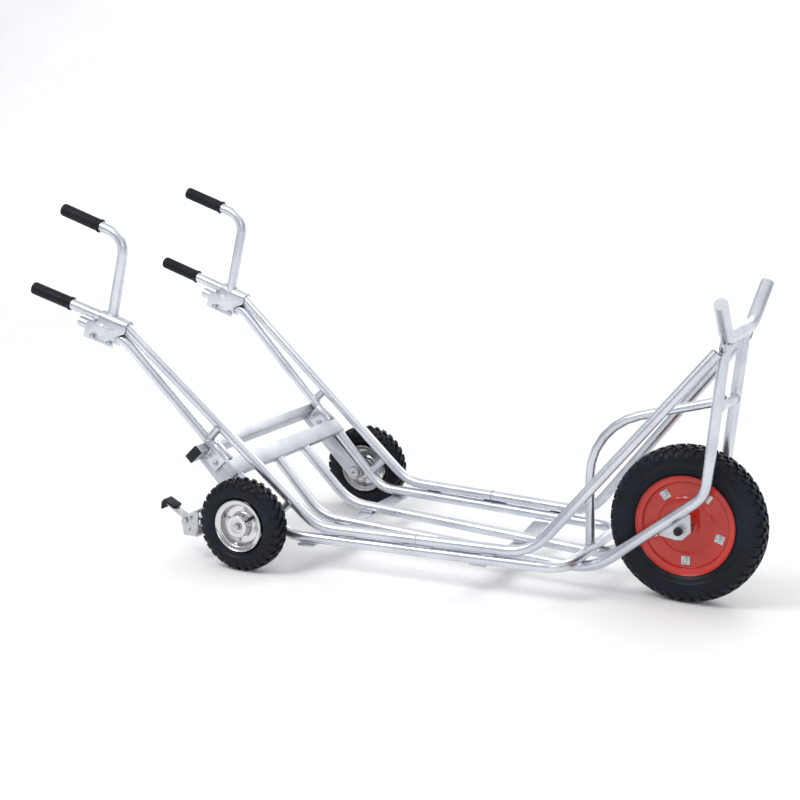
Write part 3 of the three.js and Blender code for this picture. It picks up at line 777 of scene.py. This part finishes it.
def deck_welds():
    """Stitch welds along the deck edge, the butt joint in each rail, and tacks that hold the strips."""
    for label, side in SIDES.items():
        for i, (a, b) in enumerate(EDGE_STITCHES):
            seam(f"weld_deck_edge_{label}_{i + 1}", deck_edge(a, side), deck_edge(b, side), 3.3 * MM)
        centre = on_run(RAIL_RUN, RAIL_JOINT_X, side)
        _, u, v = basis((1, RAIL_RUN["dy"] * side, RAIL_RUN["dz"]))
        turns = [2 * math.pi * i / 60 for i in range(60)]
        ring = [centre + (u * math.cos(a) + v * math.sin(a)) * TUBE for a in turns]
        bead("weld_rail_joint_" + label, ring, 1.5 * MM)
        for place, x0, x1, spine_y, level in (
            ("rear", -0.148, -0.118, 0.0713, 0.0655),
            ("front", 0.260, 0.290, 0.0660, 0.0515),
        ):
            for hand in (-1, 1):
                y = (spine_y + hand * 9.5 * MM) * side
                name = f"weld_{place}_strip_{label}_{'out' if hand > 0 else 'in'}"
                seam(name, (x0, y, level), (x1, y, level), 3.4 * MM)


def round_weld(name, tube, target, size):
    """A weld where a round tube butts against another. Each is a start, a direction and a radius."""
    bead(name, saddle_points(*tube, *target), size)


def flat_weld(name, tube, on_plane, size):
    """A weld where a round tube meets a face of the lower crossbar, which is square to the slope."""
    bead(name, flat_points(*tube, on_plane, SLOPE_WAY), size)


def tube_welds():
    """Weld runs where tubes butt against each other or against the lower crossbar."""
    front_face = on_slope(CROSSBAR_FRONT, 0, 0)
    back_face = on_slope(CROSSBAR_BACK, 0, 0)
    for label, side in SIDES.items():
        knee = mirrored(HANDLE_POINT, side)
        rail_top = mirrored(RAIL_TOP, side)
        rail_way = (rail_top - mirrored(RAIL_LOW, side)).normalized()
        fork_low = mirrored(FORK_LOW, side)
        fork = (fork_low, mirrored(FORK_TOP, side) - fork_low, TUBE)
        rail = (knee, mirrored(RAIL_BEND, side) - knee, TUBE)
        strut_high, strut_low = mirrored(STRUT_HIGH, side), mirrored(STRUT_LOW, side)
        strut = (strut_high, strut_low - strut_high, TUBE)

        round_weld("weld_rail_top_" + label, (rail_top - rail_way * 0.2, rail_way, TUBE), fork, 1.9 * MM)
        round_weld("weld_fork_cross_" + label, (CROSS_MIDDLE, (0, side, 0), HOOP), fork, 1.7 * MM)
        round_weld("weld_horn_" + label, fork, (HORN_MIDDLE, ACROSS, HORN), 2.0 * MM)

        spine_start = mirrored(SPINE_START, side)
        spine = (spine_start, mirrored(SPINE_BEND, side) - spine_start, TUBE)
        flat_weld("weld_spine_foot_" + label, spine, front_face, 1.8 * MM)
        deck_start = on_slope(DECK_START, 0, 0.250 * side)
        deck = (deck_start, mirrored(DECK_BEND, side) - deck_start, TUBE)
        flat_weld("weld_deck_tube_" + label, deck, front_face, 1.8 * MM)
        foot_of_strut = (strut_low, strut_low - strut_high, TUBE)
        flat_weld("weld_strut_foot_" + label, foot_of_strut, back_face, 1.8 * MM)

        handle_bend = mirrored(HANDLE_BEND, side)
        handle = (handle_bend, mirrored(HANDLE_FOOT, side) - handle_bend, TUBE)
        sleeve = (knee, mirrored(GRIP_WAY, side), CLAMP_RADIUS)
        round_weld("weld_handle_foot_" + label, handle, sleeve, 1.9 * MM)

        for name, along, y, reach in (("upper", 0.030, 0.258, 0.0484), ("lower", 0.271, 0.2465, 0.065)):
            foot = on_slope(along, 0, y * side)
            head = on_slope(along, reach, (y + 0.001) * side)
            upwards = (foot, head - foot, SPACER_RADIUS)
            round_weld(f"weld_spacer_{name}_top_{label}", upwards, rail, 1.6 * MM)
            if name == "upper":
                downwards = (head, foot - head, SPACER_RADIUS)
                round_weld(f"weld_spacer_{name}_foot_{label}", downwards, strut, 1.6 * MM)

    hoop_top = (HOOP_KNEE, HOOP_END - HOOP_KNEE, HOOP)
    round_weld("weld_hoop_top", hoop_top, (CROSS_MIDDLE, ACROSS, HOOP), 1.7 * MM)
    hoop_foot = (HOOP_KNEE, HOOP_FOOT - HOOP_KNEE, HOOP)
    round_weld("weld_hoop_foot", hoop_foot, (DECK_FRONT, ACROSS, TUBE), 1.8 * MM)


# ---------- everything the CAD carries over ----------


def dress_cad():
    """The tubes, bars, plates and small fittings that are shown as the CAD made them."""
    tubes = ("main_rail", "spine_tube", "rear_strut", "upper_handle", "upper_spacer", "lower_spacer")
    for label in SIDES:
        for name in tubes:
            dress(f"{name}_{label}", "aluminium")
        dress("leg_" + label, "mill", 0.0016)
        dress("leg_saddle_" + label, "aluminium", 0.0008)
        dress("rail_clamp_" + label, "aluminium", 0.0008)
        dress("axle_bracket_" + label, "mill", 0.0008)
        dress("crossbar_cap_" + label, "cap", 0.0012)
        dress("axle_cap_" + label, "cap", 0.0006)
        dress("rear_axle_" + label, "zinc", 0.0005)
        for place in ("rear", "front"):
            dress(f"clamp_bolt_{label}_{place}", "zinc", 0.0005)
    for name in ("deck_u_tube", "wheel_hoop", "fork_cross_tube", "horn_tube"):
        dress(name, "aluminium")
    for name in ("lower_crossbar", "upper_crossbar"):
        dress(name, "mill", 0.0016)
    for name in ("rear_deck_strip", "front_deck_strip"):
        dress(name, "mill", 0.0008)
    for name in ("front_axle", "front_hub", "brake_carrier", "brake_pedal", "brake_pivot_bolt"):
        dress(name, "zinc", 0.0007)
    dress("pedal_pad", "grip", 0.001)


# ---------- studio ----------


def studio_floor():
    """A pale seamless sweep: floor, curved corner and back wall."""
    near, bend, radius, top, half = -14.0, 9.0, 3.0, 16.0, 24.0
    steps = 12
    profile = [(near, 0.0), (bend, 0.0)]
    for i in range(1, steps + 1):
        a = math.pi / 2 * i / steps
        profile.append((bend + radius * math.sin(a), radius * (1 - math.cos(a))))
    profile.append((bend + radius, top))
    vertices = [Vector((x, y, z)) for x in (-half, half) for y, z in profile]
    count = len(profile)
    faces = [(i, i + 1, count + i + 1, count + i) for i in range(count - 1)]
    mesh = bpy.data.meshes.new("studio_sweep")
    mesh.from_pydata(vertices, [], faces)
    for polygon in mesh.polygons:
        polygon.use_smooth = True
    material, nodes, links = new_material("studio_paper")
    shader = nodes["Principled BSDF"]
    fine = noise(nodes, links, 3.0)
    tone = ramp(nodes, links, fine, [(0.3, (0.90, 0.90, 0.905)), (0.7, (0.93, 0.93, 0.93))])
    links.new(tone, shader.inputs["Base Color"])
    shader.inputs["Roughness"].default_value = 0.9
    mesh.materials.append(material)
    floor = bpy.data.objects.new("studio_sweep", mesh)
    bpy.context.scene.collection.objects.link(floor)


def studio_world():
    """Soft sky: bright overhead, dim round the horizon so that the metal has something to reflect."""
    world = bpy.data.worlds.new("studio")
    world.use_nodes = True
    nodes, links = world.node_tree.nodes, world.node_tree.links
    coords = nodes.new("ShaderNodeTexCoord")
    split = nodes.new("ShaderNodeSeparateXYZ")
    links.new(coords.outputs["Generated"], split.inputs["Vector"])
    stops = [(0.0, (0.5, 0.52, 0.56)), (0.25, (0.42, 0.44, 0.49)), (0.75, (1.0, 1.0, 1.0))]
    sky = ramp(nodes, links, split.outputs["Z"], stops)
    links.new(sky, nodes["Background"].inputs["Color"])
    nodes["Background"].inputs["Strength"].default_value = 0.95
    bpy.context.scene.world = world


def studio_lights():
    middle = (0, 0, 0.3)
    for name, place, aim, size, energy in (
        ("key", (-1.8, -3.2, 4.2), middle, 2.2, 110),
        ("fill", (3.6, -3.4, 2.4), middle, 2.0, 22),
        ("back", (0.6, 3.6, 4.4), middle, 2.6, 50),
        ("wall", (-2.0, 5.0, 6.0), (-4.0, 12.0, 3.0), 6.0, 520),
    ):
        light = bpy.data.lights.new(name, "AREA")
        light.size = size
        light.energy = energy
        lamp = bpy.data.objects.new(name, light)
        lamp.location = place
        lamp.rotation_euler = (Vector(aim) - Vector(place)).to_track_quat("-Z", "Y").to_euler()
        bpy.context.scene.collection.objects.link(lamp)


def camera():
    azimuth, elevation, roll = (math.radians(CAMERA[k]) for k in ("azimuth", "elevation", "roll"))
    look = Vector((
        -math.sin(azimuth) * math.cos(elevation),
        math.cos(azimuth) * math.cos(elevation),
        -math.sin(elevation),
    ))
    right = Vector((math.cos(azimuth), math.sin(azimuth), 0))
    up = right.cross(look)
    right, up = (
        right * math.cos(roll) + up * math.sin(roll),
        up * math.cos(roll) - right * math.sin(roll),
    )
    data = bpy.data.cameras.new("camera")
    data.lens = CAMERA["lens"]
    data.sensor_width = 36
    data.clip_end = 100
    eye = bpy.data.objects.new("camera", data)
    turn = Matrix((right, up, -look)).transposed().to_4x4()
    eye.matrix_world = Matrix.Translation(CAMERA["place"]) @ turn
    bpy.context.scene.collection.objects.link(eye)
    bpy.context.scene.camera = eye


dress_cad()
front_tyre()
front_rim_bolts()
for label, side in SIDES.items():
    front_rim(label, side)
    rear_tyre(label)
    rear_rim(label, side)
grips()
saddle_bolts()
brake_hardware()
clamp_welds()
deck_welds()
tube_welds()
for label, side in SIDES.items():
    rear_valve(label, side)
studio_floor()
studio_world()
studio_lights()
camera()
bpy.context.scene.view_settings.view_transform = "Standard"
